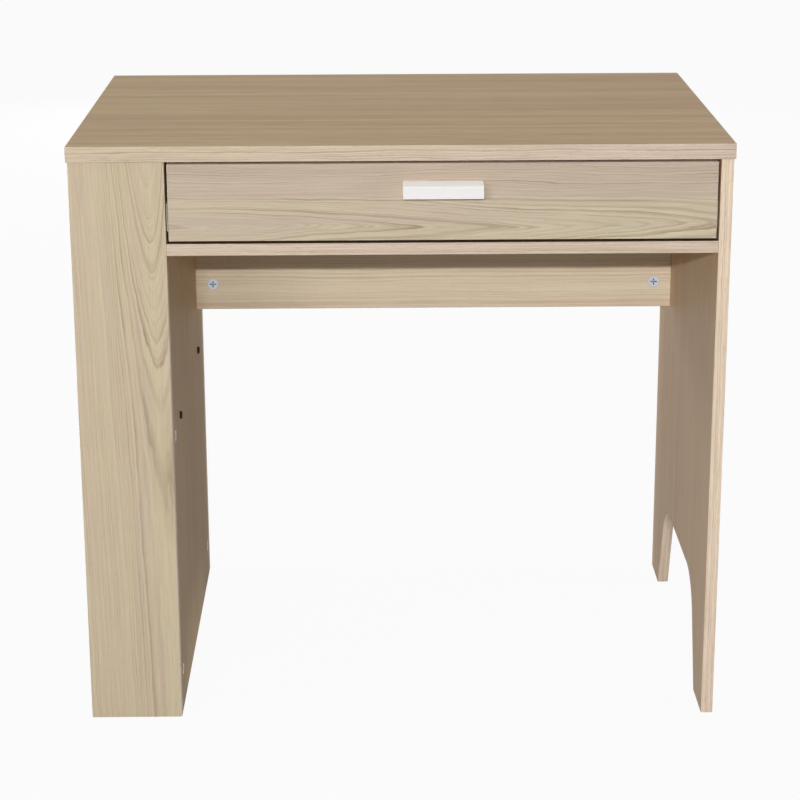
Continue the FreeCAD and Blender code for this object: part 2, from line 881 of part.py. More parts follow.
def both_sides(places):
    mirror = [(across(point), way_across(run), way_across(facing)) for point, run, facing in places]
    return places + mirror


cam_groups(
    "drawer", [(both_sides(left_cams[0]), both_sides(left_cams[1]))], drawer_cam_shape
)
group("drawer_dowels", dowel_shape, both_sides(left_dowels))

back_axis = box_back - size.drawer_board / 2
first_level = box_bottom + size.drawer_screw_rise
back_screw_points = [
    (drawer_left, back_axis, level)
    for level in (first_level, first_level + size.drawer_screw_spacing)
]
drawer_left_side.bore("+X", back_screw_points, screw_hole, size.drawer_board)
drawer_left_side.bore(
    "+X", back_screw_points, size.screw_head_radius + size.fit, size.screw_head
)
in_back = size.drawer_screw_length - size.drawer_board + size.bore_spare
back_holes = [moved(point, "+X", size.drawer_board) for point in back_screw_points]
drawer_back.bore("+X", back_holes, screw_hole, in_back)
drawer_back.bore("-X", [across(point) for point in back_holes], screw_hole, in_back)
box_screw_shape = turned(
    "box_screw_shape",
    [
        (nothing, nothing),
        (size.drawer_screw_length, nothing),
        (size.drawer_screw_length - size.tip_length, size.screw_radius),
        (size.screw_head, size.screw_radius),
        (size.screw_head, size.screw_head_radius),
        (nothing, size.screw_head_radius),
    ],
)
group(
    "drawer_box_screws",
    box_screw_shape,
    both_sides([(point, "+X", "+Z") for point in back_screw_points]),
)

# Roller runners. The drawer's roller runs in the channel of the cabinet runner, and the drawer
# runner's flange runs on the roller at the front of the cabinet runner.
runner_front = front + size.runner_setback
runner_back = box_back
runner_length = runner_back - runner_front
channel_floor = runner_bottom + size.runner_sheet
drawer_roller_level = channel_floor + size.running_gap + size.roller_radius
rib_bottom = drawer_roller_level + size.roller_radius + size.rib_gap
rib_top = rib_bottom + size.runner_sheet * 2
cabinet_roller_level = rib_top + size.roller_proud - size.roller_radius
flange_bottom = rib_top + size.roller_proud + size.running_gap
rib_low = rib_bottom - runner_bottom
rib_high = rib_top - runner_bottom
runner_height = rib_high + size.runner_upstand
cabinet_runner_left = Piece(
    "cabinet_runner_left",
    (knee_left, runner_front, runner_bottom),
    "Y",
    [
        (nothing, nothing),
        (size.channel_reach, nothing),
        (size.channel_reach, size.runner_sheet),
        (size.runner_sheet, size.runner_sheet),
        (size.runner_sheet, rib_low),
        (size.channel_reach, rib_low),
        (size.channel_reach, rib_high),
        (size.runner_sheet, rib_high),
        (size.runner_sheet, runner_height),
        (nothing, runner_height),
    ],
    runner_length,
)
web_face = knee_left + size.runner_sheet
cabinet_runner_left.slot(
    "+Y",
    (web_face, runner_front, rib_bottom),
    (knee_left + size.channel_reach, runner_front, rib_top),
    size.rib_start,
)
leg_outside = size.runner_space - size.runner_sheet - size.flange_start
leg_inside = size.runner_space - size.flange_start
ledge_end = leg_inside + size.drawer_board
ledge_bottom = box_bottom - size.runner_sheet
flange_low = flange_bottom - ledge_bottom
flange_high = flange_low + size.runner_sheet
drawer_runner_left = Piece(
    "drawer_runner_left",
    (knee_left + size.flange_start, runner_front, ledge_bottom),
    "Y",
    [
        (leg_outside, nothing),
        (ledge_end, nothing),
        (ledge_end, size.runner_sheet),
        (leg_inside, size.runner_sheet),
        (leg_inside, flange_high),
        (nothing, flange_high),
        (nothing, flange_low),
        (leg_outside, flange_low),
    ],
    runner_length,
)

pin_hole = size.pin_radius + size.pin_fit
roller_shape = turned(
    "roller_shape",
    [
        (nothing, pin_hole),
        (size.roller_width, pin_hole),
        (size.roller_width, size.roller_radius - size.roller_crown),
        (size.roller_width - size.roller_crown, size.roller_radius),
        (size.roller_crown, size.roller_radius),
        (nothing, size.roller_radius - size.roller_crown),
    ],
)
collar_end = size.runner_sheet + size.collar_width
pin_head_start = collar_end + size.roller_width + size.roller_side_gap * 2
pin_end = pin_head_start + size.collar_width
pin_shape = turned(
    "roller_pin_shape",
    [
        (nothing, nothing),
        (pin_end, nothing),
        (pin_end, size.collar_radius),
        (pin_head_start, size.collar_radius),
        (pin_head_start, size.pin_radius),
        (collar_end, size.pin_radius),
        (collar_end, size.collar_radius),
        (size.runner_sheet, size.collar_radius),
        (size.runner_sheet, size.pin_radius),
        (nothing, size.pin_radius),
    ],
)
roller_start = collar_end + size.roller_side_gap
cabinet_pin = (knee_left, runner_front + size.roller_inset, cabinet_roller_level)
drawer_pin = (drawer_left, runner_back - size.roller_inset, drawer_roller_level)
cabinet_runner_left.bore("+X", [cabinet_pin], pin_hole, size.runner_sheet)
drawer_runner_left.bore("-X", [drawer_pin], pin_hole, size.runner_sheet)
for name, pin, run in (("cabinet", cabinet_pin, "+X"), ("drawer", drawer_pin, "-X")):
    pins = both_sides([(pin, run, "+Z")])
    rollers = both_sides([(moved(pin, run, roller_start), run, "+Z")])
    group(f"{name}_roller_pins", pin_shape, pins)
    for side, place in zip(("left", "right"), rollers):
        group(f"{name}_roller_{side}", roller_shape, [place])

# Runner screws: into the bay's walls, and up through the ledge into the drawer sides
runner_screw_shape = pan_screw("runner_screw_shape", size.runner_screw_length)
screw_spacing = (runner_length - size.runner_screw_first - size.runner_screw_last) / 2
screw_depths = [runner_front + size.runner_screw_first + screw_spacing * step for step in range(3)]
screw_level = rib_top + size.runner_screw_rise
wall_spots = [(web_face, depth, screw_level) for depth in screw_depths]
in_wall = size.runner_screw_length - size.runner_sheet + size.bore_spare
cabinet_runner_left.bore("-X", wall_spots, screw_hole, size.runner_sheet)
wall_holes = [moved(spot, "-X", size.runner_sheet) for spot in wall_spots]
column_inner_panel.bore("-X", wall_holes, screw_hole, in_wall)
right_side_panel.bore("+X", [across(hole) for hole in wall_holes], screw_hole, in_wall)
group(
    "cabinet_runner_screws",
    runner_screw_shape,
    both_sides([(moved(spot, "+X", size.screw_head), "-X", "+Z") for spot in wall_spots]),
)
ledge_spots = [(side_axis, depth, ledge_bottom) for depth in screw_depths]
drawer_runner_left.bore("+Z", ledge_spots, screw_hole, size.runner_sheet)
side_holes = [moved(spot, "+Z", size.runner_sheet) for spot in ledge_spots]
under_groove = size.groove_rise - size.bore_spare
drawer_left_side.bore("+Z", side_holes, screw_hole, under_groove)
ledge_screw_shape = pan_screw(
    "ledge_screw_shape", size.runner_sheet + under_groove - size.bore_spare
)
group(
    "drawer_runner_screws",
    ledge_screw_shape,
    both_sides([(moved(spot, "-Z", size.screw_head), "+Z", "+X") for spot in ledge_spots]),
)

# The right-hand runners and drawer side mirror the left-hand ones.
mirrored("drawer_right_side", drawer_left_side.body)
mirrored("cabinet_runner_right", cabinet_runner_left.body)
mirrored("drawer_runner_right", drawer_runner_left.body)
doc.recompute()

for item in doc.Objects:
    if "Invalid" in item.State or "Error" in item.State:
        raise RuntimeError(f"{item.Label} failed: {item.State}")
for item in sub_parts:
    if item.Shape.isNull() or not item.Shape.isValid():
        raise RuntimeError(f"{item.Label} has no valid shape")

os.makedirs("parts", exist_ok=True)
for item in sub_parts:
    item.Shape.exportStep(f"parts/{item.Label}.step")
print(f"{len(sub_parts)} sub-parts written")
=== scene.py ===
import json
import math

import bpy
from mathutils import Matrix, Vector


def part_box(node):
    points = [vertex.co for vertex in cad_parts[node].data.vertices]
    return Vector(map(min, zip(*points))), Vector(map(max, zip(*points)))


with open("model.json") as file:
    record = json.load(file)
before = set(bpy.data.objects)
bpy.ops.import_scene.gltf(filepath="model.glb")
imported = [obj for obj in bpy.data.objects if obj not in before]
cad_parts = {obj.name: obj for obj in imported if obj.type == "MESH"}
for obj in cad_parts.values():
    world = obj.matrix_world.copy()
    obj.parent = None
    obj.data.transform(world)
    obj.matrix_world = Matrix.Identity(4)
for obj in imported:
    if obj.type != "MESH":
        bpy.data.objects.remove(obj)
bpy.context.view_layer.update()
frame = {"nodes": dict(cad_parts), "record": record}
nodes = frame["nodes"]
print("frame loaded:", len(nodes), "nodes")
mm = 0.001   # materials are measured in millimetres, the scene in metres


def linear(hexCode):
    channels = [int(hexCode[i:i + 2], 16) / 255 for i in (1, 3, 5)]
    return [c / 12.92 if c <= 0.04045 else ((c + 0.055) / 1.055) ** 2.4 for c in channels] + [1]


# Adds a node, sets it up, joins its inputs and gives back its first live output.
def addNode(tree, kind, inputs, **settings):
    node = tree.nodes.new("ShaderNode" + kind)
    for name, value in settings.items():
        setattr(node, name, value)
    live = [s for s in node.inputs if s.enabled]
    for key, value in inputs.items():
        socket = live[key] if isinstance(key, int) else next(s for s in live if s.name == key)
        if isinstance(value, bpy.types.NodeSocket):
            tree.links.new(value, socket)
        else:
            socket.default_value = value
    return next(s for s in node.outputs if s.enabled)


def newMaterial(name):
    material = bpy.data.materials.new(name)
    material.use_nodes = True
    return material, material.node_tree, material.node_tree.nodes["Principled BSDF"]


# Oak foil pressed on chipboard: growth rings cut at a slant give nested points along the pith and
# straight lines away from it. Each foil adds the axes across and along its grain, a seed, the place of
# its pith and three tones.
oakGrain = {
    "ring": 6.0,            # width of a year
    "pace": (0.3, 3.2),     # how often, per year, and how far the width of the years changes
    "blunt": 4.0,           # roundness of the points
    "lean": 0,              # drift of the pith across the board, mm per metre
    "slant": (0, 60, 1),    # rise of the rings along the pith: at the origin, per metre, and its power
    "spread": 40,           # distance from the pith at which the rise is half as large
    "waves": {              # strength, width, length and detail of each noise, drawn out along the grain
        "sway": (10.0, 45, 260, 2),     # slow bends
        "ripple": (2.4, 6, 50, 2),      # small wobble of the years
        "fade": (1.6, 14, 170, 2),      # where lines grow faint
        "streak": (2.4, 22, 700, 2),    # broad changes of tone
        "fibre": (1.0, 1.5, 60, 3),     # real fibres are 0.3 mm wide, too fine to show
        "pore": (1.0, 1.1, 12, 1),      # real pores are about 0.3 mm wide too
    },
    "seam": None,           # joint of two veneer leaves: place, and the far leaf's shift, closeness and tint
    "seamSway": 0.3,        # how much of the sway the joint follows
    "vigour": 0.15,         # the weakest year against the strongest
    "shade": (0.2, 0.9, 0.4),   # part of the year in which the late wood darkens, and how far
    "rim": (0.7, 0.9, 0.6),     # the same for the dark rim that ends it
    "fall": 0.91,           # part of the year at which the rim stops
    "fadeLevel": 0.75,      # how much of the lines stays on average
    "calm": (45, 75, 0.4),  # distances from the pith between which the lines weaken, and what is left
    "figure": 0.5,          # strength of the yearly lines
    "hairs": 3.7,           # finer lines to a year
    "hairBand": (0.45, 0.75),   # values of their noise at which they set in and are full
    "fine": 0.3,            # strength of the finer lines
    "fibres": 0.10,         # strength of the fibres
    "fibreSwing": 4,        # how much their noise changes that strength
    "pores": 0.10,          # strength of the pores
    "poreBand": (0.08, 0.2),    # values of their noise at which they set in and are full
    "roughness": 0.42,
    "fibreGloss": 0.12,     # how far the fibres change the roughness
    "fibreBump": (0.25, 0.2),   # strength and height of the fibres' relief
    "specular": 0.3,        # specular level, of which 0.5 is what the IOR gives
    "edgeRound": 0.8,       # radius to which the tape's edges are scraped
}


def oakFoil(name, **changes):
    look = {**oakGrain, **changes}
    look["waves"] = {**oakGrain["waves"], **changes.get("waves", {})}
    material, tree, shader = newMaterial(name)
    place = addNode(tree, "TexCoord", {}).node.outputs["Object"]
    inMm = addNode(tree, "VectorMath", {"Vector": place, "Scale": 1 / mm}, operation="SCALE")
    axes = addNode(tree, "SeparateXYZ", {0: inMm}).node.outputs
    across, along = axes[look["across"]], axes[look["along"]]
    grain = addNode(tree, "CombineXYZ", {"X": across, "Y": along, "Z": look["seed"]})
    waves = {}
    for wave, (strength, width, length, detail) in look["waves"].items():
        drawn = addNode(tree, "Mapping", {"Vector": grain, "Scale": (1 / width, 1 / length, 1)})
        soft = addNode(tree, "TexNoise", {"Vector": drawn, "Scale": 1, "Detail": detail})
        soft = addNode(tree, "Math", {0: soft, 1: 0.5}, operation="SUBTRACT")   # now it swings about 0
        waves[wave] = addNode(tree, "Math", {0: soft, 1: strength}, operation="MULTIPLY")
    tint, closer = waves["streak"], 1.0
    seam = look["seam"]
    if seam:  # the far leaf shows another part of the log
        edge = addNode(tree, "Math", {0: waves["sway"], 1: look["seamSway"], 2: seam["place"]},
                       operation="MULTIPLY_ADD")
        upper = addNode(tree, "Math", {0: across, 1: edge}, operation="GREATER_THAN")
        across = addNode(tree, "Math", {0: upper, 1: seam["shift"], 2: across}, operation="MULTIPLY_ADD")
        tint = addNode(tree, "Math", {0: upper, 1: seam["tint"], 2: tint}, operation="MULTIPLY_ADD")
        closer = addNode(tree, "Math", {0: upper, 1: seam["closer"] - 1, 2: 1.0}, operation="MULTIPLY_ADD")
    # distance from the pith, and the years that it spans
    pith = addNode(tree, "Math", {0: along, 1: look["lean"] * mm, 2: look["pith"]},
                   operation="MULTIPLY_ADD")
    offset = addNode(tree, "Math", {0: across, 1: pith}, operation="SUBTRACT")
    offset = addNode(tree, "Math", {0: offset, 1: waves["sway"]}, operation="ADD")
    fromPith = addNode(tree, "CombineXYZ", {"X": offset, "Y": look["blunt"]})
    reach = addNode(tree, "VectorMath", {0: fromPith}, operation="LENGTH").node.outputs["Value"]
    start, steep, power = look["slant"]
    metres = addNode(tree, "Math", {0: along, 1: mm}, operation="MULTIPLY")
    rise = addNode(tree, "Math", {0: metres, 1: power}, operation="POWER")
    rise = addNode(tree, "Math", {0: rise, 1: steep, 2: start}, operation="MULTIPLY_ADD")
    apart = addNode(tree, "Math", {0: offset, 1: look["spread"]}, operation="DIVIDE")
    apart = addNode(tree, "Math", {0: apart, 1: apart, 2: 1.0}, operation="MULTIPLY_ADD")
    rise = addNode(tree, "Math", {0: rise, 1: apart}, operation="DIVIDE")
    reach = addNode(tree, "Math", {0: reach, 1: rise}, operation="ADD")
    reach = addNode(tree, "Math", {0: reach, 1: waves["ripple"]}, operation="ADD")
    years = addNode(tree, "Math", {0: reach, 1: look["ring"]}, operation="DIVIDE")
    years = addNode(tree, "Math", {0: years, 1: closer}, operation="MULTIPLY")
    often, far = look["pace"]
    pace = addNode(tree, "TexNoise", {"W": years, "Scale": often, "Detail": 1}, noise_dimensions="1D")
    years = addNode(tree, "Math", {0: pace, 1: far, 2: years}, operation="MULTIPLY_ADD")
    # late wood darkens towards the end of each year and stops sharply; some years are strong, some weak
    season = addNode(tree, "Math", {0: years}, operation="FRACT")
    year = addNode(tree, "Math", {0: years}, operation="FLOOR")
    vigour = addNode(tree, "TexWhiteNoise", {"W": year}, noise_dimensions="1D")
    vigour = addNode(tree, "MapRange", {"Value": vigour, "To Min": look["vigour"], "To Max": 1.0})
    begin, end, depth = look["shade"]
    shade = addNode(tree, "MapRange", {"Value": season, "From Min": begin, "From Max": end, "To Max": depth},
                    interpolation_type="SMOOTHSTEP")
    begin, end, depth = look["rim"]
    rim = addNode(tree, "MapRange", {"Value": season, "From Min": begin, "From Max": end, "To Max": depth},
                  interpolation_type="SMOOTHSTEP")
    fall = addNode(tree, "MapRange", {"Value": season, "From Min": look["fall"], "From Max": 1.0,
                                      "To Min": 1.0, "To Max": 0.0}, interpolation_type="SMOOTHSTEP")
    fade = addNode(tree, "Math", {0: waves["fade"], 1: look["fadeLevel"]}, operation="ADD", use_clamp=True)
    aside = addNode(tree, "Math", {0: offset}, operation="ABSOLUTE")
    begin, end, level = look["calm"]
    calm = addNode(tree, "MapRange", {"Value": aside, "From Min": begin, "From Max": end,
                                      "To Min": 1.0, "To Max": level}, interpolation_type="SMOOTHSTEP")
    line = addNode(tree, "Math", {0: shade, 1: rim}, operation="ADD")
    for factor in (fall, vigour, fade, calm):
        line = addNode(tree, "Math", {0: line, 1: factor}, operation="MULTIPLY")
    line = addNode(tree, "Math", {0: line, 1: look["figure"]}, operation="MULTIPLY", use_clamp=True)
    # finer lines between the years
    close = addNode(tree, "Math", {0: years, 1: look["hairs"]}, operation="MULTIPLY")
    hair = addNode(tree, "TexNoise", {"W": close, "Scale": 1.0, "Detail": 1}, noise_dimensions="1D")
    begin, end = look["hairBand"]
    hair = addNode(tree, "MapRange", {"Value": hair, "From Min": begin, "From Max": end,
                                      "To Max": look["fine"]})
    hair = addNode(tree, "Math", {0: hair, 1: fade}, operation="MULTIPLY")
    swing = look["fibreSwing"] * look["fibres"]
    fibre = addNode(tree, "Math", {0: waves["fibre"], 1: swing, 2: look["fibres"]},
                    operation="MULTIPLY_ADD", use_clamp=True)
    begin, end = look["poreBand"]
    pore = addNode(tree, "MapRange", {"Value": waves["pore"], "From Min": begin, "From Max": end,
                                      "To Max": look["pores"]})
    # colour: broad streaks of two tones, with all the marks in the tone of the late wood
    tint = addNode(tree, "Math", {0: tint, 1: 0.5}, operation="ADD", use_clamp=True)
    tone = addNode(tree, "Mix", {"Factor": tint, "A": linear(look["pale"]), "B": linear(look["warm"])},
                   data_type="RGBA")
    for mark in (line, hair, fibre, pore):
        tone = addNode(tree, "Mix", {"Factor": mark, "A": tone, "B": linear(look["late"])}, data_type="RGBA")
    tree.links.new(tone, shader.inputs["Base Color"])
    rough = addNode(tree, "Math", {0: waves["fibre"], 1: look["fibreGloss"], 2: look["roughness"]},
                    operation="MULTIPLY_ADD")
    tree.links.new(rough, shader.inputs["Roughness"])
    shader.inputs["Specular IOR Level"].default_value = look["specular"]
    rounded = addNode(tree, "Bevel", {"Radius": look["edgeRound"] * mm}, samples=4)
    strength, height = look["fibreBump"]
    relief = addNode(tree, "Bump", {"Height": waves["fibre"], "Strength": strength,
                                    "Distance": height * mm, "Normal": rounded})
    tree.links.new(relief, shader.inputs["Normal"])
    return material


# Raw chipboard in bores and grooves: pale flakes of 1 to 3 mm
rawLook = {
    "flake": 2.5, "pale": "#b8976a", "dark": "#8e6d47",
    "bump": 0.5, "bumpHeight": 0.4, "roughness": 0.9,
}


def chipboard(look):
    material, tree, shader = newMaterial("raw_chipboard")
    place = addNode(tree, "TexCoord", {}).node.outputs["Object"]
    chips = addNode(tree, "TexVoronoi", {"Vector": place, "Scale": 1 / (look["flake"] * mm)})
    shade = addNode(tree, "SeparateColor", {0: chips.node.outputs["Color"]})
    tone = addNode(tree, "Mix", {"Factor": shade, "A": linear(look["pale"]), "B": linear(look["dark"])},
                   data_type="RGBA")
    tree.links.new(tone, shader.inputs["Base Color"])
    relief = addNode(tree, "Bump", {"Height": shade, "Strength": look["bump"],
                                    "Distance": look["bumpHeight"] * mm})
    tree.links.new(relief, shader.inputs["Normal"])
    shader.inputs["Roughness"].default_value = look["roughness"]
    return material


# Brown backing paper on a side that nobody sees, painted dark as shade for the gap under the drawer front:
# kraft fibres a millimetre or so long
shadedPaperLook = {"fibre": 1.5, "pale": "#5d4733", "dark": "#4a3726", "roughness": 0.85}


def shadedBackingPaper(look):
    material, tree, shader = newMaterial("backing_paper_painted_dark")
    place = addNode(tree, "TexCoord", {}).node.outputs["Object"]
    fibres = addNode(tree, "TexNoise", {"Vector": place, "Scale": 1 / (look["fibre"] * mm), "Detail": 3})
    tone = addNode(tree, "Mix", {"Factor": fibres, "A": linear(look["pale"]), "B": linear(look["dark"])},
                   data_type="RGBA")
    tree.links.new(tone, shader.inputs["Base Color"])
    shader.inputs["Roughness"].default_value = look["roughness"]
    return material


# Edge tape: thin oak foil with close, slightly wavy lines along each edge
edgeTape = {
    "pale": "#dccbb2", "warm": "#e2cfc0", "late": "#937760",
    "pith": 4000, "slant": (0, 0, 1), "ring": 4.6,   # the pith is far away, so the lines are straight
    "waves": {"sway": (7.0, 30, 110, 2), "ripple": (2.6, 6, 50, 2)},
    "calm": (1, 2, 1.0), "figure": 0.75, "fibres": 0.14, "pores": 0.2, "specular": 0.15,
}
brightSideTape = {"pale": "#f6e2c8", "warm": "#f6e0ca"}   # tape painted lighter on boards that run from front to back: a painted highlight for the bright front edge of the right panel
firstSeed = 1.3   # each tape is another cut of the noise
rawBoard = chipboard(rawLook)
shadedBacking = shadedBackingPaper(shadedPaperLook)
tapes = {}
for through, run in ("ZX", "ZY", "YX", "YZ", "XY", "XZ"):
    tape = {**edgeTape, **brightSideTape} if through == "X" else edgeTape
    tapes[through + run] = oakFoil("oak_edge_tape_" + through.lower() + run.lower(),
                                   across=through, along=run, seed=firstSeed + len(tapes), **tape)
print("edge tapes ready:", len(tapes))

# Each laminated board: the axis through its thickness and the foil of its faces. "plain" is the side that
# has the plain foil instead, while the other side's foil is painted in a tone for the light on it; a board
# may also name the side with backing paper, painted dark as shade.
plainOak = {"pale": "#d7c7a8", "warm": "#d4bfa6", "late": "#8a725a", "specular": 0.3, "roughness": 0.42}
boards = {
    # desktop: foil painted browner and darker than the other boards' same laminate, as painted shade for its
    # top
    "desktop": {
        "through": "Z",
        "foil": dict(across="Y", along="X", seed=11.0, pith=-120, slant=(0, 50, 1), spread=60, ring=9.0,
                     waves={"streak": (4.0, 26, 900, 3), "sway": (26.0, 80, 420, 3)},
                     figure=0.55, fibres=0.2, calm=(60, 140, 0.7), specular=0.02, roughness=0.5,
                     pale="#d2bd97", warm="#c6a98b", late="#92765a"),
    },
    "column_front_panel": {
        "through": "Y",
        "foil": dict(across="X", along="Z", seed=3.0, pith=-284.5, lean=-27, slant=(30, -228, 4), spread=25,
                     blunt=9.0, figure=0.74, calm=(36, 62, 0.25),
                     pale="#d3c6a5", warm="#d1bea7", late="#8a725a"),
    },
    "column_back_panel": {
        "through": "Y",
        "foil": dict(across="X", along="Z", seed=23.0, pith=-350, slant=(-30, 90, 1), figure=0.8,
                     pale="#d3c6a5", warm="#d1bea7", late="#8a725a"),
    },
    # column inner panel: knee-side foil painted warmer than the plain oak of its niche side, as painted
    # light and shade of the knee space
    "column_inner_panel": {
        "through": "X", "plain": -1,
        "foil": dict(across="Y", along="Z", seed=31.0, pith=-40, slant=(-30, 90, 1),
                     specular=0.01, roughness=0.5,
                     pale="#e0c8a4", warm="#ddc09e", late="#9a8064"),
    },
    # right panel: knee-side foil painted lighter and warmer than the plain oak of its outer face, as painted
    # light
    "right_side_panel": {
        "through": "X", "plain": 1,
        "foil": dict(across="Y", along="Z", seed=37.0, pith=60, slant=(30, -90, 1),
                     specular=0.06, roughness=0.5,
                     pale="#e2c9a8", warm="#debf9e", late="#a08266"),
    },
    # bay floor: foil painted darker than the other boards, as painted shade
    "bay_floor": {
        # its top face, hidden under the drawer, takes the backing paper painted dark as shade for the gap
        # below the drawer front
        "through": "Z", "shadedBacking": 1,
        "foil": dict(across="Y", along="X", seed=41.0, pith=-60, slant=(0, 90, 1),
                     pale="#bfa37a", warm="#bd9c76", late="#8a6c4c"),
    },
    # modesty panel: front foil painted lighter than the plain oak of its back, as painted light for a face
    # deep in the knee space
    "modesty_panel": {
        "through": "Y", "plain": 1,
        "foil": dict(across="Z", along="X", seed=43.0, pith=300, slant=(0, 24, 1),
                     waves={"streak": (3.6, 22, 700, 2)},
                     figure=0.6, calm=(1, 2, 1.0),
                     pale="#e8dbc3", warm="#e3d0b6", late="#9a7f60"),
    },
    "drawer_front": {
        "through": "Y",
        "foil": dict(across="Z", along="X", seed=47.0, pith=641, slant=(0, 68, 1), spread=30, ring=6.5,
                     waves={"sway": (24.0, 60, 260, 3)},
                     seam={"place": 677, "shift": 120, "closer": 2.6, "tint": 0.7},
                     figure=0.74, fine=0.46, fibres=0.13, calm=(60, 110, 0.9),
                     pale="#d4c9ad", warm="#cfbeac", late="#8a725a"),
    },
    "middle_shelf": {
        "through": "Z",
        "foil": dict(across="X", along="Y", seed=53.0, pith=-340, slant=(0, 80, 1),
                     pale="#cdbb9a", warm="#cdb699", late="#9a8065"),
    },
    "bottom_shelf": {
        "through": "Z",
        "foil": dict(across="X", along="Y", seed=59.0, pith=-360, slant=(0, -80, 1),
                     pale="#cdbb9a", warm="#cdb699", late="#9a8065"),
    },
}
archTop = 150 * mm     # below this the right panel has no bores, only the taped edge of its arch
boreDepth = 1.2 * mm   # a face that lies deeper than this in the board is in a bore or a groove
facingSlot, rawSlot, tapeSlot, otherSlot = 0, 1, 2, 4   # slots 2 and 3 hold the tapes


def dressBoard(name, facing, through, otherSide=0, otherFacing=shadedBacking):
    node = nodes[name]
    low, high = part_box(name)
    runs = [letter for letter in "XYZ" if letter != through]
    node.data.materials.clear()
    for material in [facing, rawBoard] + [tapes[through + run] for run in runs] + [otherFacing]:
        node.data.materials.append(material)
    for polygon in node.data.polygons:
        size = [abs(c) for c in polygon.normal]
        axis = size.index(max(size))
        outward = high if polygon.normal[axis] > 0 else low
        inside = abs(polygon.center[axis] - outward[axis]) > boreDepth
        if name == "right_side_panel" and polygon.center.z < archTop:
            inside = False
        if inside:
            polygon.material_index = rawSlot
        elif "XYZ"[axis] == through:
            polygon.material_index = otherSlot if polygon.normal[axis] * otherSide > 0 else facingSlot
        else:
            run = next(letter for letter in runs if letter != "XYZ"[axis])
            polygon.material_index = tapeSlot + runs.index(run)


for name, board in boards.items():
    facing = oakFoil(name + "_oak_foil", **board["foil"])
    if "plain" in board:
        other = oakFoil(name + "_outer_foil", **{**board["foil"], **plainOak})
        dressBoard(name, facing, board["through"], board["plain"], other)
    else:
        dressBoard(name, facing, board["through"], board.get("shadedBacking", 0))
print("laminated boards dressed:", len(boards))

# Drawer box: thinner boards in a plain oak foil; the axis through each and the one along its grain
boxFoil = dict(across="Z", seed=61.0, pith=500, slant=(0, 20, 1), calm=(1, 2, 1.0), figure=0.35,
               pale="#d6c8a8", warm="#d4c0a3", late="#ab9274")
boxBoards = {"drawer_left_side": "XY", "drawer_right_side": "XY", "drawer_back": "YX"}
boxFoils = {run: oakFoil("drawer_box_foil_" + run.lower(), along=run, **boxFoil) for run in "XY"}
for name, (through, run) in boxBoards.items():
    dressBoard(name, boxFoils[run], through)
print("drawer box dressed:", len(boxBoards))


def dress(material, name):
    mesh = nodes[name].data
    mesh.materials.clear()
    mesh.materials.append(material)
    for polygon in mesh.polygons:
        polygon.material_index = 0


# Hardboard: brown pressed fibre, smooth side up, in flocks up to 20 mm across that are made of finer ones
hardboardLook = {
    "flock": 20, "detail": 6, "fineness": 0.75, "swirl": 1.5,
    "band": (0.3, 0.7),   # values of the noise that are all pale and all dark
    "pale": "#9a7250", "dark": "#6f4e34", "bump": 0.15, "bumpHeight": 0.3, "roughness": 0.6,
}


def hardboard(look):
    material, tree, shader = newMaterial("hardboard")
    place = addNode(tree, "TexCoord", {}).node.outputs["Object"]
    fibres = addNode(tree, "TexNoise", {"Vector": place, "Scale": 1 / (look["flock"] * mm),
                                        "Detail": look["detail"], "Roughness": look["fineness"],
                                        "Distortion": look["swirl"]})
    begin, end = look["band"]
    fibres = addNode(tree, "MapRange", {"Value": fibres, "From Min": begin, "From Max": end})
    tone = addNode(tree, "Mix", {"Factor": fibres, "A": linear(look["pale"]), "B": linear(look["dark"])},
                   data_type="RGBA")
    tree.links.new(tone, shader.inputs["Base Color"])
    relief = addNode(tree, "Bump", {"Height": fibres, "Strength": look["bump"],
                                    "Distance": look["bumpHeight"] * mm})
    tree.links.new(relief, shader.inputs["Normal"])
    shader.inputs["Roughness"].default_value = look["roughness"]
    return material


# Metals, plastics and dowels: a base colour that varies a little over "grain" millimetres, the same
# pattern as bump, and a darker tone painted in recesses as shade
fittings = {
    # anodised aluminium, drawn along its length: fine lines, satin gloss
    "satin_aluminium": dict(base="#f3f1ef", other="#ebe9e8", recessShade="#bcc6d4", grain=(20000, 0.6, 0.6),
                            metallic=0.1, roughness=0.5, bump=0.05, sheen=0.7),
    # die-cast zinc with dull nickel plating: bluish, faintly mottled
    "zinc_cam": dict(base="#e6f0ff", other="#cddff4", recessShade="#3a3e44", grain=(3, 3, 3),
                     metallic=0.3, roughness=0.4, bump=0.08, sheen=0.0),
    # zinc-plated steel: bright, slightly blue
    "zinc_plated_steel": dict(base="#c4c8cc", other="#aeb3b8", recessShade="#4a4d50", grain=(2, 2, 2),
                              metallic=1.0, roughness=0.3, bump=0.05, sheen=0.0),
    # blackened steel: dark and dull
    "blackened_screw": dict(base="#0e0c0a", other="#1a1714", recessShade="#060505", grain=(2, 2, 2),
                            metallic=0.0, roughness=0.7, bump=0.05, sheen=0.0),
    # white epoxy powder coat: slight orange peel
    "white_coated_steel": dict(base="#e4e4e0", other="#dcdcd7", recessShade="#c2c2bd", grain=(1.8, 1.8, 1.8),
                               metallic=0.0, roughness=0.35, bump=0.12, sheen=0.0),
    # natural nylon: milky, waxy
    "nylon_roller": dict(base="#dedcd2", other="#d3d0c4", recessShade="#b9b6aa", grain=(3, 3, 3),
                         metallic=0.0, roughness=0.4, bump=0.04, sheen=0.0),
    # turned beech: warm, with short flecks
    "beech_dowel": dict(base="#d3ac80", other="#b98d60", recessShade="#8a6743", grain=(2, 2, 2),
                        metallic=0.0, roughness=0.65, bump=0.2, sheen=0.0),
}
recessShadeAndRelief = {
    "reach": 3,               # painted shade lies within this many mm of a wall
    "band": (0.35, 0.85),     # how open a place is when it is all in painted shade, and when it has none
    "roughSpread": 0.12,      # how far the pattern changes the roughness
    "bumpHeight": 0.3,
}


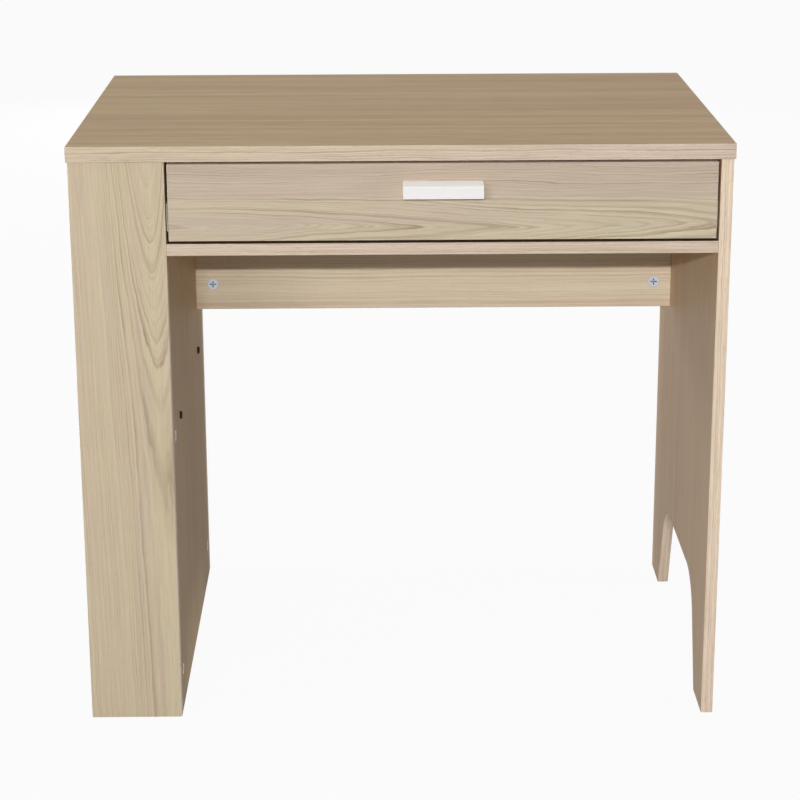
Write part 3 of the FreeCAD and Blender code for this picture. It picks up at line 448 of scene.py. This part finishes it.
def finish(name, look):
    material, tree, shader = newMaterial(name)
    place = addNode(tree, "TexCoord", {}).node.outputs["Object"]
    drawn = addNode(tree, "Mapping", {"Vector": place, "Scale": [1 / (size * mm) for size in look["grain"]]})
    soft = addNode(tree, "TexNoise", {"Vector": drawn, "Scale": 1, "Detail": 3})
    tone = addNode(tree, "Mix", {"Factor": soft, "A": linear(look["base"]), "B": linear(look["other"])},
                   data_type="RGBA")
    # painted shade: the base colour is drawn towards the darker recess tone where ambient occlusion finds
    # walls within reach
    nearby = addNode(tree, "AmbientOcclusion", {"Distance": recessShadeAndRelief["reach"] * mm}, samples=8, only_local=True)
    begin, end = recessShadeAndRelief["band"]
    unshaded = addNode(tree, "MapRange", {"Value": nearby.node.outputs["AO"],
                                       "From Min": begin, "From Max": end}, interpolation_type="SMOOTHSTEP")
    tone = addNode(tree, "Mix", {"Factor": unshaded, "A": linear(look["recessShade"]), "B": tone}, data_type="RGBA")
    tree.links.new(tone, shader.inputs["Base Color"])
    spread = recessShadeAndRelief["roughSpread"]
    rough = addNode(tree, "Math", {0: soft, 1: spread, 2: look["roughness"] - spread / 2},
                    operation="MULTIPLY_ADD")
    tree.links.new(rough, shader.inputs["Roughness"])
    relief = addNode(tree, "Bump", {"Height": soft, "Strength": look["bump"],
                                    "Distance": recessShadeAndRelief["bumpHeight"] * mm})
    tree.links.new(relief, shader.inputs["Normal"])
    shader.inputs["Metallic"].default_value = look["metallic"]
    shader.inputs["Sheen Weight"].default_value = look["sheen"]
    return material


dress(hardboard(hardboardLook), "drawer_bottom")
finishes = {name: finish(name, look) for name, look in fittings.items()}
for part in frame["record"]["subparts"]:
    if part["material_slot"] in finishes:
        dress(finishes[part["material_slot"]], part["node"])
print("fittings dressed")

# Studio: white floor and surround; a key lamp just above the lens, a softer one at its left, a large one
# overhead and panels that light the sides and the back
studio = {
    "floorSize": 60.0, "floorPaper": "#a8a8a8", "floorRoughness": 0.9,
    "floorWhite": 0.95,   # share of plain white that the eye sees; the rest takes the shadow
    "ambient": 0.09,      # strength of the light from the surround
    "lamps": {   # watts, size, place, tilt from straight down and turn about Z
        "key_lamp": (109, (0.7, 0.04), (-0.15, -4.46, 1.797), 74.2, -1.5),
        "left_front_lamp": (40, (1.2, 0.04), (-1.5, -4.3, 1.757), 75.7, -19.2),
        "overhead_lamp": (29, (3.0, 3.0), (0, -0.3, 3.2), 0, 0),
        "left_panel": (70, (0.8, 1.4), (-4.2, 0.15, 1.0), 90, -90),
        "right_panel": (70, (0.8, 1.4), (4.2, 0.15, 1.0), 90, 90),
        "back_panel": (85, (0.8, 1.4), (-0.4, 4.6, 1.0), 90, 180),
    },
}
white = (1, 1, 1, 1)


# 1 for rays from the eye, straight or by way of metal and glass, and 0 for light that falls on things
def seenByEye(tree):
    path = addNode(tree, "LightPath", {}).node.outputs
    seen = addNode(tree, "Math", {0: path["Is Camera Ray"], 1: path["Is Glossy Ray"]}, operation="ADD")
    return addNode(tree, "Math", {0: seen, 1: path["Is Transmission Ray"]}, operation="ADD", use_clamp=True)


bpy.ops.object.select_all(action="DESELECT")
bpy.ops.mesh.primitive_plane_add(size=studio["floorSize"])
floor = bpy.context.object
floor.name = "studio_floor"
material, tree, shader = newMaterial("white_studio_paper")
shader.inputs["Base Color"].default_value = linear(studio["floorPaper"])
shader.inputs["Roughness"].default_value = studio["floorRoughness"]
seen = addNode(tree, "Math", {0: seenByEye(tree), 1: studio["floorWhite"]}, operation="MULTIPLY")
glow = addNode(tree, "Emission", {"Color": white, "Strength": 1.0})
paper = addNode(tree, "MixShader", {0: seen, 1: shader.outputs[0], 2: glow})
tree.links.new(paper, tree.nodes["Material Output"].inputs["Surface"])
floor.data.materials.append(material)

world = bpy.data.worlds.new("studio")
bpy.context.scene.world = world
world.use_nodes = True
tree = world.node_tree
fill = addNode(tree, "Background", {"Color": white, "Strength": studio["ambient"]})
bright = addNode(tree, "Background", {"Color": white, "Strength": 1.0})
sky = addNode(tree, "MixShader", {0: seenByEye(tree), 1: fill, 2: bright})
tree.links.new(sky, tree.nodes["World Output"].inputs["Surface"])

for name, (watts, size, place, tilt, turn) in studio["lamps"].items():
    bpy.ops.object.light_add(type="AREA", location=place)
    lamp = bpy.context.object
    lamp.name = name
    lamp.data.shape = "RECTANGLE"
    lamp.data.size, lamp.data.size_y = size
    lamp.data.energy = watts
    lamp.rotation_euler = (math.radians(tilt), 0, math.radians(turn))
    lamp.visible_glossy = False   # no glare on the top from behind; gloss shows the white surround

# Camera: the angle of the photograph, with no lens shift
view = {"place": (-0.0325, -2.930, 1.2364), "pitch": 16.95, "yaw": -0.705, "roll": 0.188,
        "sensor": 36, "lens": 102.07, "farthest": 60}
bpy.ops.object.camera_add(location=view["place"])
camera = bpy.context.object
camera.rotation_euler = [math.radians(angle) for angle in (90 - view["pitch"], view["roll"], view["yaw"])]
camera.data.sensor_width = view["sensor"]
camera.data.lens = view["lens"]
camera.data.clip_end = view["farthest"]
bpy.context.scene.camera = camera
bpy.context.scene.view_settings.view_transform = "Standard"
print("studio and camera ready")
